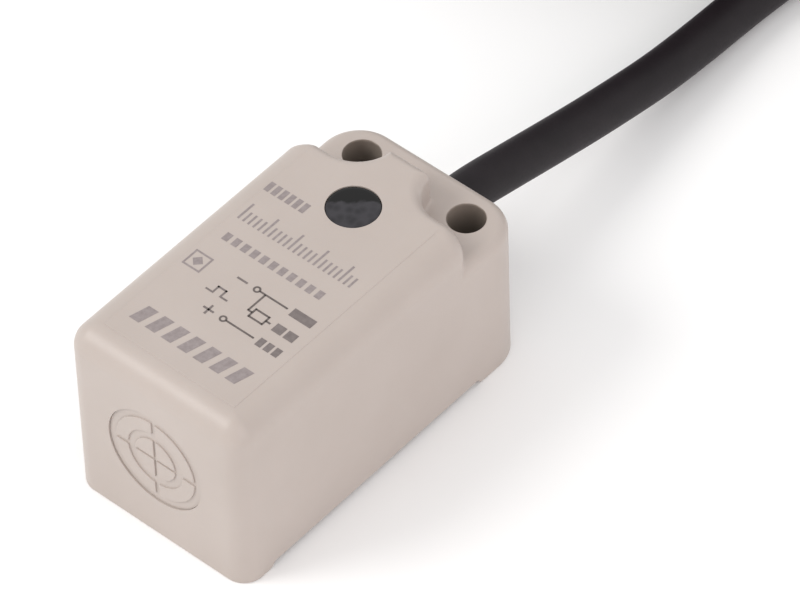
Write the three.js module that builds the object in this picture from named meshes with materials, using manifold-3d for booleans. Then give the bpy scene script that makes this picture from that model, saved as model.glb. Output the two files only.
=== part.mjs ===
// Block-shaped inductive proximity sensor with a flying lead, as an assembly of separate solids.
// Millimetres, +Z up. The sensing face looks along -Y, the lead leaves along +Y.
// The origin is on the standing surface, under the middle of the case.
import * as THREE from 'three';
import Module from 'manifold-3d';
import { mergeVertices } from 'three/addons/utils/BufferGeometryUtils.js';

// Case, outside
const WIDTH = 17;
const LENGTH = 32;
const HEIGHT = 17;
const EAR_HEIGHT = 13.7;
const FRONT_CORNER = 1.8;
const REAR_CORNER = 3.4;
const TOP_EDGE = 2.2;
const EAR_EDGE = 1.0;
const PLATEAU_END = 13.2;
const FOOT_HEIGHT = 0.54;
const FRONT_FOOT_END = -12.9;
const REAR_FOOT_START = 10.3;

// Mounting holes, with the round clearance for a screw head above each
const HOLE_X = 5.13;
const HOLE_Y = 13.05;
const HOLE_RADIUS = 1.55;
const SCALLOP_RADIUS = 3.2;
const SHOULDER_CORNER = 1.2;

// Round mark that shows the middle of the sensing face
const TARGET_HEIGHT = 8.5;
const TARGET_RADIUS = 4.65;
const TARGET_DEPTH = 0.2;

// Indicator window
const WINDOW_Y = 6.35;
const WINDOW_RADIUS = 2.1;
const WINDOW_CLEARANCE = 0.1;
const WINDOW_SEAT_RADIUS = 3.0;

// Case, inside
const SIDE_WALL = 1.2;
const FRONT_WALL = 1.0;
const TOP_WALL = 1.2;
const CHAMBER_END = 8.0;
const LOWER_CHAMBER_END = 9.4;
const LOWER_CHAMBER_TOP = 12.2;
const POCKET_HALF_WIDTH = 2.7;
const POCKET_END = 14.2;

// Lead
const CABLE_RADIUS = 1.8;
const CABLE_HEIGHT = 8.5;
const CABLE_START = 11.5;
const SEAL_RADIUS = 2.7;
const SEAL_CLEARANCE = 0.1;
const BORE_CLEARANCE = 0.35;
const CABLE_SIDES = 8;

// Coil of spare lead, held by two ties that it stands on
const COIL_CENTRE = new THREE.Vector2(-20.8, 73.1);
const COIL_MIDDLE_RADIUS = 20.2;
const COIL_COLUMNS = 3;
const COIL_LAYERS = 6;
const TIE_THICKNESS = 0.8;
const TIE_WIDTH = 4;
const TIE_GAP = 0.3;
const COIL_HALF_WIDTH = COIL_COLUMNS * CABLE_RADIUS;
const COIL_BOTTOM = TIE_THICKNESS + TIE_GAP;
const COIL_HEIGHT = 2 * COIL_LAYERS * CABLE_RADIUS;
const COIL_OUTER_RADIUS = COIL_MIDDLE_RADIUS + COIL_HALF_WIDTH;
const COIL_TOP = COIL_BOTTOM + COIL_HEIGHT;
const LYING_GAP = 0.05;
const TAIL_START = -0.7;
const TAIL_END = 0.14;
const TAIL_STEPS = 8;
const NEAR_TIE_ANGLE = 3.75;
const FAR_TIE_ANGLE = 1.75;
const LEAD_RADIUS = 0.6;
const TIP_RADIUS = 0.4;

// Circuit board
const BOARD_BOTTOM = 11.6;
const BOARD_TOP = 12.6;
const BOARD_HALF_WIDTH = 6.8;
const BOARD_FRONT = -9.0;
const BOARD_REAR = 7.6;

const wasm = await Module();
wasm.setup();

const sensor = new THREE.Group();

function finish(color, roughness, metalness = 0) {
  return new THREE.MeshStandardMaterial({ color, roughness, metalness });
}

const ABS = finish(0xcfc3b7, 0.55);
const SMOKED_LENS = finish(0x303034, 0.12);
const FERRITE = finish(0x2e2e30, 0.7);
const NYLON = finish(0xe6dfc8, 0.5);
const COPPER = finish(0xb5622f, 0.35, 0.9);
const FOAM = finish(0x55585c, 0.95);
const BOARD_GREEN = finish(0x1f5c3a, 0.45);
const CHIP_BLACK = finish(0x1a1a1c, 0.5);
const CERAMIC = finish(0xb89f7a, 0.6);
const TANTALUM = finish(0xd9a02c, 0.5);
const SOLDER = finish(0xc2c4c6, 0.3, 1);
const RESIN = finish(0x2b2a28, 0.4);
const RUBBER = finish(0x222124, 0.8);
const STEEL = finish(0xa8abae, 0.35, 1);
const JACKET = finish(0x2c292c, 0.6);
const BROWN = finish(0x5b351f, 0.5);
const BLACK = finish(0x1b1b1d, 0.5);
const BLUE = finish(0x2557a5, 0.5);
const LED_RED = finish(0xc9382c, 0.25);
const TIE_BLACK = finish(0x19191b, 0.6);

function add(name, geometry, material) {
  const mesh = new THREE.Mesh(geometry, material);
  mesh.name = name;
  sensor.add(mesh);
  return mesh;
}

function solidOf(geometry) {
  const plain = geometry.clone();
  plain.deleteAttribute('normal');
  plain.deleteAttribute('uv');
  const merged = mergeVertices(plain, 1e-4);
  const vertProperties = merged.attributes.position.array;
  const triVerts = new Uint32Array(merged.index.array);
  return new wasm.Manifold(new wasm.Mesh({ numProp: 3, vertProperties, triVerts }));
}

function geometryOf(solid) {
  const mesh = solid.getMesh();
  const geometry = new THREE.BufferGeometry();
  geometry.setAttribute('position', new THREE.BufferAttribute(mesh.vertProperties, 3));
  geometry.setIndex(new THREE.BufferAttribute(mesh.triVerts, 1));
  geometry.computeVertexNormals();
  return geometry;
}

// Shapes drawn in (x, y), (x, z) or (y, z), pushed along the third axis.
function prism(shape, axis, from, to, curveSegments = 8) {
  const options = { depth: to - from, bevelEnabled: false, curveSegments };
  const geometry = new THREE.ExtrudeGeometry(shape, options);
  if (axis === 'z') {
    return geometry.translate(0, 0, from);
  }
  if (axis === 'y') {
    return geometry.rotateX(Math.PI / 2).translate(0, to, 0);
  }
  const turn = new THREE.Matrix4();
  turn.makeBasis(new THREE.Vector3(0, 1, 0), new THREE.Vector3(0, 0, 1), new THREE.Vector3(1, 0, 0));
  return geometry.applyMatrix4(turn).translate(from, 0, 0);
}

function box(lowX, highX, lowY, highY, lowZ, highZ) {
  const geometry = new THREE.BoxGeometry(highX - lowX, highY - lowY, highZ - lowZ);
  return geometry.translate((lowX + highX) / 2, (lowY + highY) / 2, (lowZ + highZ) / 2);
}

function uprightCylinder(x, y, radius, lowZ, highZ, sides = 32) {
  const geometry = new THREE.CylinderGeometry(radius, radius, highZ - lowZ, sides);
  return geometry.rotateX(Math.PI / 2).translate(x, y, (lowZ + highZ) / 2);
}

function cylinderAlongY(z, radius, lowY, highY, sides = 32) {
  const geometry = new THREE.CylinderGeometry(radius, radius, highY - lowY, sides);
  return geometry.translate(0, (lowY + highY) / 2, z);
}

// A body of revolution: profile of [radius, distance along the axis] pairs, listed anticlockwise.
function turned(profile, segments) {
  const points = profile.map(([radius, along]) => new THREE.Vector2(radius, along));
  return new THREE.LatheGeometry(points, segments);
}

function turnedAlongY(profile, z, segments = 40) {
  return turned(profile, segments).translate(0, 0, z);
}

function turnedUpright(profile, x, y, segments = 32) {
  return turned(profile, segments).rotateX(Math.PI / 2).translate(x, y, 0);
}

function ring(innerRadius, outerRadius, from, to) {
  return [
    [innerRadius, from],
    [outerRadius, from],
    [outerRadius, to],
    [innerRadius, to],
    [innerRadius, from],
  ];
}

function tube(points, radius, steps, sides = CABLE_SIDES) {
  const path = new THREE.CatmullRomCurve3(points.map((p) => new THREE.Vector3(...p)));
  const section = new THREE.Shape();
  section.absarc(0, 0, radius, 0, 2 * Math.PI, false);
  const curveSegments = sides / 2;
  return new THREE.ExtrudeGeometry(section, { extrudePath: path, steps, bevelEnabled: false, curveSegments });
}

// Rectangle with its own radius at each corner: low-left, low-right, high-right, high-left.
function roundedRectangle(lowX, highX, lowY, highY, radii) {
  const [a, b, c, d] = radii;
  const shape = new THREE.Shape();
  shape.moveTo(lowX + a, lowY);
  shape.lineTo(highX - b, lowY);
  if (b > 0) shape.absarc(highX - b, lowY + b, b, -Math.PI / 2, 0, false);
  shape.lineTo(highX, highY - c);
  if (c > 0) shape.absarc(highX - c, highY - c, c, 0, Math.PI / 2, false);
  shape.lineTo(lowX + d, highY);
  if (d > 0) shape.absarc(lowX + d, highY - d, d, Math.PI / 2, Math.PI, false);
  shape.lineTo(lowX, lowY + a);
  if (a > 0) shape.absarc(lowX + a, lowY + a, a, Math.PI, 1.5 * Math.PI, false);
  return shape;
}

// Block with rounded upright corners and rounded top edges.
function roundedBlock(rearY, top, cornerRadii, edge) {
  const half = WIDTH / 2;
  const front = -LENGTH / 2;
  const plan = roundedRectangle(-half, half, front, rearY, cornerRadii);
  const across = roundedRectangle(-half, half, 0, top, [0, 0, edge, edge]);
  const along = roundedRectangle(front, rearY, 0, top, [0, 0, edge, edge]);
  return solidOf(prism(plan, 'z', 0, top))
    .intersect(solidOf(prism(across, 'y', front - 1, rearY + 1)))
    .intersect(solidOf(prism(along, 'x', -half - 1, half + 1)));
}

// What rounding the raised block's rear outer corner takes away, on the side that the sign gives.
function shoulderCut(side) {
  const x = side * (WIDTH / 2 - SHOULDER_CORNER);
  const y = HOLE_Y - SCALLOP_RADIUS - SHOULDER_CORNER;
  const across = [x, side * WIDTH].sort((a, b) => a - b);
  const corner = solidOf(box(...across, y, LENGTH, -1, HEIGHT + 1));
  return corner.subtract(solidOf(uprightCylinder(x, y, SHOULDER_CORNER, -2, HEIGHT + 2, 32)));
}

function caseOutside() {
  const front = [FRONT_CORNER, FRONT_CORNER];
  const base = roundedBlock(LENGTH / 2, EAR_HEIGHT, [...front, REAR_CORNER, REAR_CORNER], EAR_EDGE);
  let plateau = roundedBlock(PLATEAU_END, HEIGHT, [...front, 0, 0], TOP_EDGE);
  for (const x of [-HOLE_X, HOLE_X]) {
    plateau = plateau.subtract(solidOf(uprightCylinder(x, HOLE_Y, SCALLOP_RADIUS, -1, HEIGHT + 1, 48)));
    const beside = [x, x + Math.sign(x) * WIDTH].sort((a, b) => a - b);
    plateau = plateau.subtract(solidOf(box(...beside, HOLE_Y - SCALLOP_RADIUS, LENGTH, -1, HEIGHT + 1)));
    plateau = plateau.subtract(shoulderCut(Math.sign(x)));
  }
  return base.add(plateau);
}

function chamber() {
  const inside = WIDTH / 2 - SIDE_WALL;
  const front = -LENGTH / 2 + FRONT_WALL;
  const main = solidOf(box(-inside, inside, front, CHAMBER_END, -1, HEIGHT - TOP_WALL));
  const lower = solidOf(box(-inside, inside, front, LOWER_CHAMBER_END, -1, LOWER_CHAMBER_TOP));
  const half = POCKET_HALF_WIDTH;
  const pocket = box(-half, half, CHAMBER_END, POCKET_END, CABLE_HEIGHT - 3, LOWER_CHAMBER_TOP);
  const windowSeat = uprightCylinder(0, WINDOW_Y, WINDOW_SEAT_RADIUS, LOWER_CHAMBER_TOP, HEIGHT - TOP_WALL);
  return main.add(lower).add(solidOf(pocket)).add(solidOf(windowSeat));
}

function underReliefCut() {
  const profile = new THREE.Shape();
  profile.moveTo(FRONT_FOOT_END - FOOT_HEIGHT - 1, -1);
  profile.lineTo(REAR_FOOT_START + 1, -1);
  profile.lineTo(REAR_FOOT_START, 0);
  profile.lineTo(REAR_FOOT_START, FOOT_HEIGHT);
  profile.lineTo(FRONT_FOOT_END, FOOT_HEIGHT);
  profile.closePath();
  return solidOf(prism(profile, 'x', -WIDTH, WIDTH));
}

// Raised concentric rings with four gaps and a cross, standing in the round recess.
function targetRelief() {
  const front = -LENGTH / 2;
  const floor = front + TARGET_DEPTH;
  const rings = solidOf(turnedAlongY(ring(2.65, 3.75, front, floor + 0.1), TARGET_HEIGHT))
    .add(solidOf(turnedAlongY(ring(1.0, 1.9, front, floor + 0.1), TARGET_HEIGHT)));
  const gapHalf = 0.2;
  const reach = TARGET_RADIUS;
  const upright = box(-gapHalf, gapHalf, front - 1, floor, TARGET_HEIGHT - reach, TARGET_HEIGHT + reach);
  const level = box(-reach, reach, front - 1, floor, TARGET_HEIGHT - gapHalf, TARGET_HEIGHT + gapHalf);
  return rings.subtract(solidOf(upright)).subtract(solidOf(level));
}

function addCase() {
  const front = -LENGTH / 2;
  let body = caseOutside().subtract(chamber()).subtract(underReliefCut());
  for (const x of [-HOLE_X, HOLE_X]) {
    body = body.subtract(solidOf(uprightCylinder(x, HOLE_Y, HOLE_RADIUS, -1, HEIGHT + 1)));
  }
  const boreRadius = SEAL_RADIUS + SEAL_CLEARANCE;
  body = body.subtract(solidOf(cylinderAlongY(CABLE_HEIGHT, boreRadius, POCKET_END - 1, LENGTH / 2 + 1)));
  const windowBore = WINDOW_RADIUS + WINDOW_CLEARANCE;
  body = body.subtract(solidOf(uprightCylinder(0, WINDOW_Y, windowBore, HEIGHT - TOP_WALL - 1, HEIGHT + 1)));
  const recess = cylinderAlongY(TARGET_HEIGHT, TARGET_RADIUS, front - 1, front + TARGET_DEPTH, 40);
  body = body.subtract(solidOf(recess)).add(targetRelief());
  add('case_shell', geometryOf(body), ABS);
}

function addBottomCover() {
  const clearance = 0.2;
  const inside = WIDTH / 2 - SIDE_WALL - clearance;
  const front = -LENGTH / 2 + FRONT_WALL + clearance;
  const rear = LOWER_CHAMBER_END - clearance;
  const plate = solidOf(box(-inside, inside, front, rear, 0, 1.45));
  add('bottom_cover', geometryOf(plate.subtract(underReliefCut())), ABS);
}

function addIndicatorWindow() {
  const under = HEIGHT - TOP_WALL;
  const profile = [
    [0, 13.7],
    [1.2, 13.7],
    [1.2, under - 0.8],
    [2.8, under - 0.8],
    [2.8, under - 0.2],
    [WINDOW_RADIUS, under - 0.2],
    [WINDOW_RADIUS, HEIGHT - 0.06],
    [0, HEIGHT - 0.06],
  ];
  add('indicator_window', turnedUpright(profile, 0, WINDOW_Y), SMOKED_LENS);
}

// Half pot core, open towards the sensing face, with the coil on its bobbin in the ring groove.
function addSensingHead() {
  const mouth = -14.2;
  const back = -9.4;
  const floor = -10.6;
  const core = [
    [1.2, mouth],
    [2.9, mouth],
    [2.9, floor],
    [5.8, floor],
    [5.8, mouth],
    [6.8, mouth],
    [6.8, back],
    [1.2, back],
    [1.2, mouth],
  ];
  const slot = solidOf(box(-1.3, 1.3, mouth - 1, back + 1, TARGET_HEIGHT + 5.0, TARGET_HEIGHT + 8));
  const pot = solidOf(turnedAlongY(core, TARGET_HEIGHT)).subtract(slot);
  add('ferrite_pot_core', geometryOf(pot), FERRITE);
  const bobbin = [
    [3.1, -14.0],
    [5.6, -14.0],
    [5.6, -13.55],
    [3.6, -13.55],
    [3.6, -11.25],
    [5.6, -11.25],
    [5.6, -10.8],
    [3.1, -10.8],
    [3.1, -14.0],
  ];
  add('coil_bobbin', turnedAlongY(bobbin, TARGET_HEIGHT), NYLON);
  add('coil_winding', turnedAlongY(ring(3.75, 5.4, -13.4, -11.4), TARGET_HEIGHT), COPPER);
  add('front_spacer', turnedAlongY([[0, -14.9], [6.6, -14.9], [6.6, -14.3], [0, -14.3]], TARGET_HEIGHT), FOAM);
  for (const [name, side] of [['coil_wire_left', -1], ['coil_wire_right', 1]]) {
    const route = [
      [side * 0.6, -12.4, 14.35],
      [side * 0.6, -10.6, 14.4],
      [side * 0.9, -9.2, 14.3],
      [side * 1.6, -8.4, 13.6],
      [side * 1.8, -8.2, BOARD_TOP + 0.15],
    ];
    add(name, tube(route, 0.14, 12, 6), COPPER);
  }
}

// Part with legs that bend down to the board: a body and straight-sided legs, joined as one solid.
function legged(x, y, length, width, height, legs) {
  const bottom = BOARD_TOP + 0.15;
  let solid = solidOf(box(x - length / 2, x + length / 2, y - width / 2, y + width / 2, bottom, bottom + height));
  for (const [legX, side, legWidth] of legs) {
    const inner = y + side * (width / 2 - 0.1);
    const outer = y + side * (width / 2 + 0.7);
    const lowY = Math.min(inner, outer);
    const highY = Math.max(inner, outer);
    const left = x + legX - legWidth / 2;
    const right = x + legX + legWidth / 2;
    solid = solid.add(solidOf(box(left, right, lowY, highY, bottom - 0.05, bottom + 0.3)));
  }
  return geometryOf(solid);
}

function addBoard() {
  const half = BOARD_HALF_WIDTH;
  add('circuit_board', box(-half, half, BOARD_FRONT, BOARD_REAR, BOARD_BOTTOM, BOARD_TOP), BOARD_GREEN);
  const chipLegs = [];
  for (const side of [-1, 1]) {
    for (const x of [-1.9, -0.63, 0.63, 1.9]) {
      chipLegs.push([x, side, 0.42]);
    }
  }
  add('oscillator_chip', legged(-3.2, -4.2, 4.9, 3.9, 1.5, chipLegs), CHIP_BLACK);
  const threeLegs = [[-0.95, -1, 0.45], [0.95, -1, 0.45], [0, 1, 0.45]];
  add('output_transistor', legged(3.6, 1.4, 2.9, 1.3, 1.1, threeLegs), CHIP_BLACK);
  const twoLegs = [[0, -1, 1.2], [0, 1, 1.2]];
  add('surge_diode', legged(-4.6, 3.6, 1.6, 2.6, 1.2, twoLegs), CHIP_BLACK);
  add('polarity_diode', legged(5.2, -2.6, 1.6, 2.6, 1.2, twoLegs), CHIP_BLACK);
  add('supply_capacitor', box(1.6, 5.0, -7.6, -5.8, BOARD_TOP + 0.05, BOARD_TOP + 1.85), TANTALUM);
  add('indicator_led', box(-0.9, 0.9, WINDOW_Y - 0.6, WINDOW_Y + 0.6, BOARD_TOP + 0.05, BOARD_TOP + 0.85), LED_RED);
}

function addChips() {
  const resistorPlaces = [[0.6, -2.6], [0.6, -1.0], [0.6, 0.6], [-1.8, 0.6], [-4.2, 0.4], [-1.8, 2.6]];
  resistorPlaces.forEach(([x, y], index) => {
    const chip = box(x - 1.0, x + 1.0, y - 0.6, y + 0.6, BOARD_TOP + 0.05, BOARD_TOP + 0.6);
    add(`chip_resistor_${index + 1}`, chip, CHIP_BLACK);
  });
  const capacitorPlaces = [[-5.6, -7.8], [-2.6, -7.9], [2.8, -3.6], [3.6, 4.9]];
  capacitorPlaces.forEach(([x, y], index) => {
    const chip = box(x - 0.8, x + 0.8, y - 0.45, y + 0.45, BOARD_TOP + 0.05, BOARD_TOP + 0.9);
    add(`chip_capacitor_${index + 1}`, chip, CERAMIC);
  });
}

// The three cores spread from the clamped end of the jacket up to the underside of the board.
function addInnerCores() {
  const ends = [['brown', -3.4, BROWN], ['black', 0, BLACK], ['blue', 3.4, BLUE]];
  ends.forEach(([colour, padX, material], index) => {
    const startX = (index - 1) * 1.25;
    const route = [
      [startX, CABLE_START - 0.3, CABLE_HEIGHT],
      [startX * 1.1, CABLE_START - 1.6, CABLE_HEIGHT],
      [padX * 0.8, 8.2, CABLE_HEIGHT + 0.4],
      [padX, 6.0, CABLE_HEIGHT + 1.1],
      [padX, 4.9, CABLE_HEIGHT + 1.9],
    ];
    add(`inner_core_${colour}`, tube(route, 0.5, 14), material);
    const joint = [
      [0, BOARD_BOTTOM - 0.85],
      [0.45, BOARD_BOTTOM - 0.7],
      [0.75, BOARD_BOTTOM - 0.35],
      [0.9, BOARD_BOTTOM - 0.05],
      [0, BOARD_BOTTOM - 0.05],
    ];
    add(`solder_joint_${colour}`, turnedUpright(joint, padX, 4.1, 16), SOLDER);
  });
}

function addCableEntry() {
  const rear = LENGTH / 2;
  const hollow = CABLE_RADIUS + BORE_CLEARANCE;
  add('cable_seal', turnedAlongY(ring(hollow, SEAL_RADIUS, 13.4, rear - 0.05), CABLE_HEIGHT), RUBBER);
  add('cable_clamp', turnedAlongY(ring(hollow, POCKET_HALF_WIDTH - 0.15, 11.9, 13.1), CABLE_HEIGHT), STEEL);
  const half = WIDTH / 2 - SIDE_WALL - 0.3;
  add('potting_resin', box(-half, half, BOARD_FRONT, LOWER_CHAMBER_END - 0.4, 1.7, 6.0), RESIN);
}

// Visible lead: level out of the case, down to the standing surface, then on to the coil.
const CABLE_ROUTE = [
  [0, CABLE_START, CABLE_HEIGHT],
  [0, 16, CABLE_HEIGHT],
  [0, 19.5, 8.1],
  [0, 23.4, 7.15],
  [0, 28, 5.95],
  [0, 32.8, 4.75],
  [0, 37.6, 3.7],
  [0, 42, 2.9],
  [-0.15, 47, 2.2],
  [-0.2, 52, 1.85],
  [-0.1, 54.7, 1.85],
];

// The last turn of the lead climbs out of the coil and ends lying on it.
function tailRoute() {
  const radius = COIL_OUTER_RADIUS - CABLE_RADIUS;
  const height = COIL_TOP + CABLE_RADIUS + LYING_GAP;
  const points = [];
  for (let i = 0; i <= TAIL_STEPS; i += 1) {
    const angle = TAIL_START + (TAIL_END - TAIL_START) * (i / TAIL_STEPS);
    points.push([COIL_CENTRE.x + radius * Math.cos(angle), COIL_CENTRE.y + radius * Math.sin(angle), height]);
  }
  return points;
}

function addCable() {
  add('cable_jacket', tube(CABLE_ROUTE, CABLE_RADIUS, 30), JACKET);
  const inner = COIL_MIDDLE_RADIUS - COIL_HALF_WIDTH;
  const section = ring(inner, COIL_OUTER_RADIUS, -COIL_BOTTOM - COIL_HEIGHT, -COIL_BOTTOM);
  const coil = turned(section, 56).rotateX(-Math.PI / 2).translate(COIL_CENTRE.x, COIL_CENTRE.y, 0);
  add('cable_coil', coil, JACKET);
  add('cable_tail', tube(tailRoute(), CABLE_RADIUS, 16), JACKET);
}

// Band round the section of the coil, at the given angle about the coil's middle.
function tieBand(angle) {
  const halfGap = COIL_HALF_WIDTH + TIE_GAP;
  const low = COIL_BOTTOM - TIE_GAP;
  const high = COIL_BOTTOM + COIL_HEIGHT + TIE_GAP;
  const t = TIE_THICKNESS;
  const outside = roundedRectangle(-halfGap - t, halfGap + t, low - t, high + t, [1, 1, 1, 1]);
  const inside = roundedRectangle(-halfGap, halfGap, low, high, [0.4, 0.4, 0.4, 0.4]);
  const band = solidOf(prism(outside, 'y', -TIE_WIDTH / 2, TIE_WIDTH / 2, 3))
    .subtract(solidOf(prism(inside, 'y', -TIE_WIDTH, TIE_WIDTH, 3)));
  const geometry = geometryOf(band).translate(COIL_MIDDLE_RADIUS, 0, 0);
  return geometry.rotateZ(angle).translate(COIL_CENTRE.x, COIL_CENTRE.y, 0);
}

// Three cores laid bare at the end of the lead, each with a stripped and tinned tip. They lie on the coil,
// and bend round with its turns.
function addFlyingLeads() {
  const outer = COIL_OUTER_RADIUS - CABLE_RADIUS;
  const place = (forward, sideways, above) => {
    const drift = THREE.MathUtils.smoothstep(forward, 0, 22);
    const radius = outer + (COIL_MIDDLE_RADIUS - outer) * drift + sideways;
    const angle = TAIL_END + forward / outer;
    return [
      COIL_CENTRE.x + radius * Math.cos(angle),
      COIL_CENTRE.y + radius * Math.sin(angle),
      COIL_TOP + LYING_GAP + above,
    ];
  };
  const cores = [['brown', 1, BROWN], ['black', 0, BLACK], ['blue', -1, BLUE]];
  for (const [colour, side, material] of cores) {
    const insulated = [
      place(0.4, side * 1.25, 1.8),
      place(4, side * 1.5, 1.5),
      place(9, side * 2.1, 0.8),
      place(15, side * 2.9, LEAD_RADIUS),
      place(21, side * 3.5, LEAD_RADIUS),
    ];
    add(`lead_${colour}`, tube(insulated, LEAD_RADIUS, 14), material);
    const bare = [
      place(21.4, side * 3.54, LEAD_RADIUS),
      place(23.4, side * 3.75, TIP_RADIUS + 0.1),
      place(26, side * 3.95, TIP_RADIUS),
    ];
    add(`tinned_tip_${colour}`, tube(bare, TIP_RADIUS, 5), SOLDER);
  }
}

addCase();
addBottomCover();
addIndicatorWindow();
addSensingHead();
addBoard();
addChips();
addInnerCores();
addCableEntry();
addCable();
add('coil_tie_near', tieBand(NEAR_TIE_ANGLE), TIE_BLACK);
add('coil_tie_far', tieBand(FAR_TIE_ANGLE), TIE_BLACK);
addFlyingLeads();

export default sensor;
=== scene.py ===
import math

import bmesh
import bpy
import numpy as np
from mathutils import Matrix, Vector


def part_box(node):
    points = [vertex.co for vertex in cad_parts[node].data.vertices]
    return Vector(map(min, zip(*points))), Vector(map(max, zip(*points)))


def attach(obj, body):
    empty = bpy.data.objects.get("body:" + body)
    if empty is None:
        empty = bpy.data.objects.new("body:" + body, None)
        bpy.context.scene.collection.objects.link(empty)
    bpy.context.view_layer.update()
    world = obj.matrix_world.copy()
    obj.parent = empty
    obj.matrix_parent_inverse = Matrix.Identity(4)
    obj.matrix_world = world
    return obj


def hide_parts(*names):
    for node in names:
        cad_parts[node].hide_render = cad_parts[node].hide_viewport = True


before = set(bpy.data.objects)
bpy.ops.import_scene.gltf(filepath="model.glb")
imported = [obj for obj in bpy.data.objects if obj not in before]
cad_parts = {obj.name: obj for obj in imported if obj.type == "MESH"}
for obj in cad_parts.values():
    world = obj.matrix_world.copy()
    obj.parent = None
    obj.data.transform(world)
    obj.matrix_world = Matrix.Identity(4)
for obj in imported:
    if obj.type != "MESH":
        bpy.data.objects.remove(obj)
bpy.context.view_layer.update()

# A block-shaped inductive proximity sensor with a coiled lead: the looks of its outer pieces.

MM = 0.001

# ---------------------------------------------------------------- driving dimensions, in millimetres

CASE_LOW, CASE_HIGH = [Vector(corner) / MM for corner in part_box("case_shell")]
HALF_WIDTH = CASE_HIGH.x
FRONT = CASE_LOW.y
REAR = CASE_HIGH.y
HEIGHT = CASE_HIGH.z
EAR_HEIGHT = 13.7
FRONT_CORNER = 1.8
REAR_CORNER = 3.4
TOP_EDGE = 2.15
EAR_EDGE = 1.0
EAR_FILLET = 0.3
INK_THICKNESS = 0.012
CASE_TOP = HEIGHT - INK_THICKNESS
# The flat top stands a step above its rounded edges. The step fades out before the screw head clearances.
STEP = 0.045
STEP_END = 9.0

# The tall part ends in a tongue between the clearances. Its outer rear corners begin at SHOULDER_X.
PLATEAU_END = 12.8
SHOULDER_X = 6.5
SHOULDER_CORNER = 1.4
HOLE_X = 5.13
HOLE_Y = 13.05
HOLE_RADIUS = 1.47
SCALLOP_Y = 12.83
SCALLOP_RADIUS = 3.15
SCALLOP_CORNER = 0.4
SCALLOP_EDGE = 1.0

FOOT_HEIGHT = 0.54
FRONT_FOOT = -13.31
REAR_FOOT = 10.5
TARGET_HEIGHT = 8.45
TARGET_RADIUS = 4.55
TARGET_DEPTH = 0.15
RECESS_DEPTH = 0.5

SIDE_WALL = 1.2
FRONT_WALL = 1.0
CHAMBER_TOP = 15.8
CHAMBER_REAR = 8.0
EAR_ROOF = 12.2
EAR_CHAMBER_REAR = 9.4
POCKET_HALF_WIDTH = 2.7
POCKET_FLOOR = 5.5
BORE_START = 13.15
BORE_RADIUS = 2.8
SEAL_RADIUS = 2.74
COVER_REAR = 9.3
COVER_TOP = 1.45

WINDOW_LOW, WINDOW_HIGH = [Vector(corner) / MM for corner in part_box("indicator_window")]
WINDOW_Y = (WINDOW_LOW.y + WINDOW_HIGH.y) / 2
WINDOW_RADIUS = 2.07
LENS_STEM_RADIUS = 1.2
LENS_FLANGE_RADIUS = 2.8
LENS_FLANGE_LOW, LENS_FLANGE_HIGH = 15.0, 15.6

CABLE_RADIUS = 1.8
CABLE_HEIGHT = 8.5
COIL_LOW, COIL_HIGH = [Vector(corner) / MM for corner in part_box("cable_coil")]
COIL_MIDDLE = (COIL_LOW + COIL_HIGH) / 2
COIL_OUTER_RADIUS = (COIL_HIGH.x - COIL_LOW.x) / 2
COIL_LAYERS = 6
COIL_COLUMNS = 3
COIL_INNER_RADIUS = COIL_OUTER_RADIUS - 2 * COIL_COLUMNS * CABLE_RADIUS
# Degrees of winding: one step, one layer, where the last climb starts and where the coil ends.
STEP_SECTOR = 120
LAYER_TURN = 7 * STEP_SECTOR
LAST_CLIMB = COIL_LAYERS * LAYER_TURN - STEP_SECTOR
LAST_TURN = COIL_LAYERS * LAYER_TURN + 8
LEAD_RADIUS = 0.6
TIP_RADIUS = 0.4
TIE_WIDTH = 4
TIE_THICKNESS = 1.05
TIE_GAP = 0.03


# ---------------------------------------------------------------- camera

def make_camera():
    """Long lens from the front right and above, rolled a little."""
    azimuth, elevation, roll = (math.radians(a) for a in (42.5, 47.81, -2.13))
    distance = 509.2
    target = Vector((3.50, 7.23, 8.5))
    back = Vector((
        math.sin(azimuth) * math.cos(elevation),
        -math.cos(azimuth) * math.cos(elevation),
        math.sin(elevation),
    ))
    right = (-back).cross(Vector((0, 0, 1))).normalized()
    up = right.cross(-back)
    rolled_right = right * math.cos(roll) + up * math.sin(roll)
    rolled_up = up * math.cos(roll) - right * math.sin(roll)
    data = bpy.data.cameras.new("camera")
    data.sensor_width = 36
    data.lens = 308.7
    data.clip_start = 0.01
    data.clip_end = 10
    camera = bpy.data.objects.new("camera", data)
    turn = Matrix((rolled_right, rolled_up, back)).transposed()
    camera.matrix_world = Matrix.Translation((target + back * distance) * MM) @ turn.to_4x4()
    bpy.context.scene.collection.objects.link(camera)
    bpy.context.scene.camera = camera


# ---------------------------------------------------------------- helpers for pieces

def link(name, data, rides=True):
    piece = bpy.data.objects.new(name, data)
    bpy.context.scene.collection.objects.link(piece)
    if rides:
        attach(piece, "root")
    return piece


def mesh_piece(name, vertices, faces, material, smooth_angle=32):
    """A mesh from points in millimetres. Edges sharper than smooth_angle stay crisp."""
    mesh = bpy.data.meshes.new(name)
    mesh.from_pydata((np.asarray(vertices, float) * MM).tolist(), [], [list(map(int, f)) for f in faces])
    mesh.validate()
    mesh.polygons.foreach_set("use_smooth", [True] * len(mesh.polygons))
    mesh.set_sharp_from_angle(angle=math.radians(smooth_angle))
    mesh.materials.append(material)
    return link(name, mesh)


def catmull(points, per_span):
    """Points along a smooth curve through the given ones."""
    p = [Vector(q) for q in points]
    p = [2 * p[0] - p[1]] + p + [2 * p[-1] - p[-2]]
    out = []
    for a, b, c, d in zip(p, p[1:], p[2:], p[3:]):
        for i in range(per_span):
            t = i / per_span
            out.append(0.5 * ((2 * b) + (c - a) * t + (2 * a - 5 * b + 4 * c - d) * t * t
                              + (3 * b - a - 3 * c + d) * t ** 3))
    out.append(p[-2])
    return out


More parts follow.
